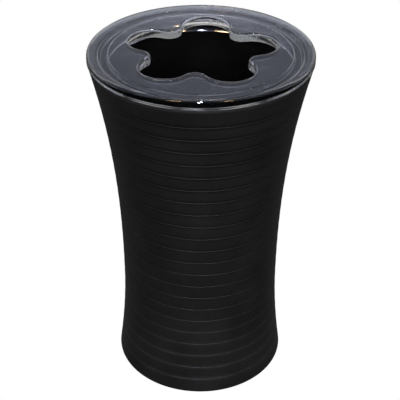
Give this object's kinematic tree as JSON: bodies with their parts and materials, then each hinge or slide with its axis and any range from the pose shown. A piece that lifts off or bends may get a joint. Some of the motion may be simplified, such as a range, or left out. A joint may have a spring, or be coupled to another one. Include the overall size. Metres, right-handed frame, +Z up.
{
  "type": "toothbrush holder",
  "caption": "Waisted bathroom tumbler with fine level grooves and a loose clear lid whose lobed opening holds toothbrushes upright.",
  "frame": {"origin": "middle of the plane that the tumbler stands on, on the cup's axis", "axes": "+Z up along the cup's axis; -Y towards the viewer; the first lobe of the opening points 5 degrees to the +X side of +Y"},
  "size_m": [0.0734, 0.0734, 0.1213],
  "materials": {
    "shell_plastic": "fine matte black, as moulded",
    "base_plastic": "matte black, as moulded",
    "pad_rubber": "soft dark foam rubber",
    "clear_plastic": "clear and glossy, polished"
  },
  "bodies": {
    "cup": {"body_shell": "shell_plastic", "base_disc": "base_plastic", "foot_pads": "pad_rubber"},
    "lid": {"clear_lid": "clear_plastic"}
  },
  "joints": [
    {"name": "lid_lift", "type": "slide", "parent": "cup", "child": "lid", "axis": [0, 0, 1], "range_m": [0, 0.03]}
  ]
}
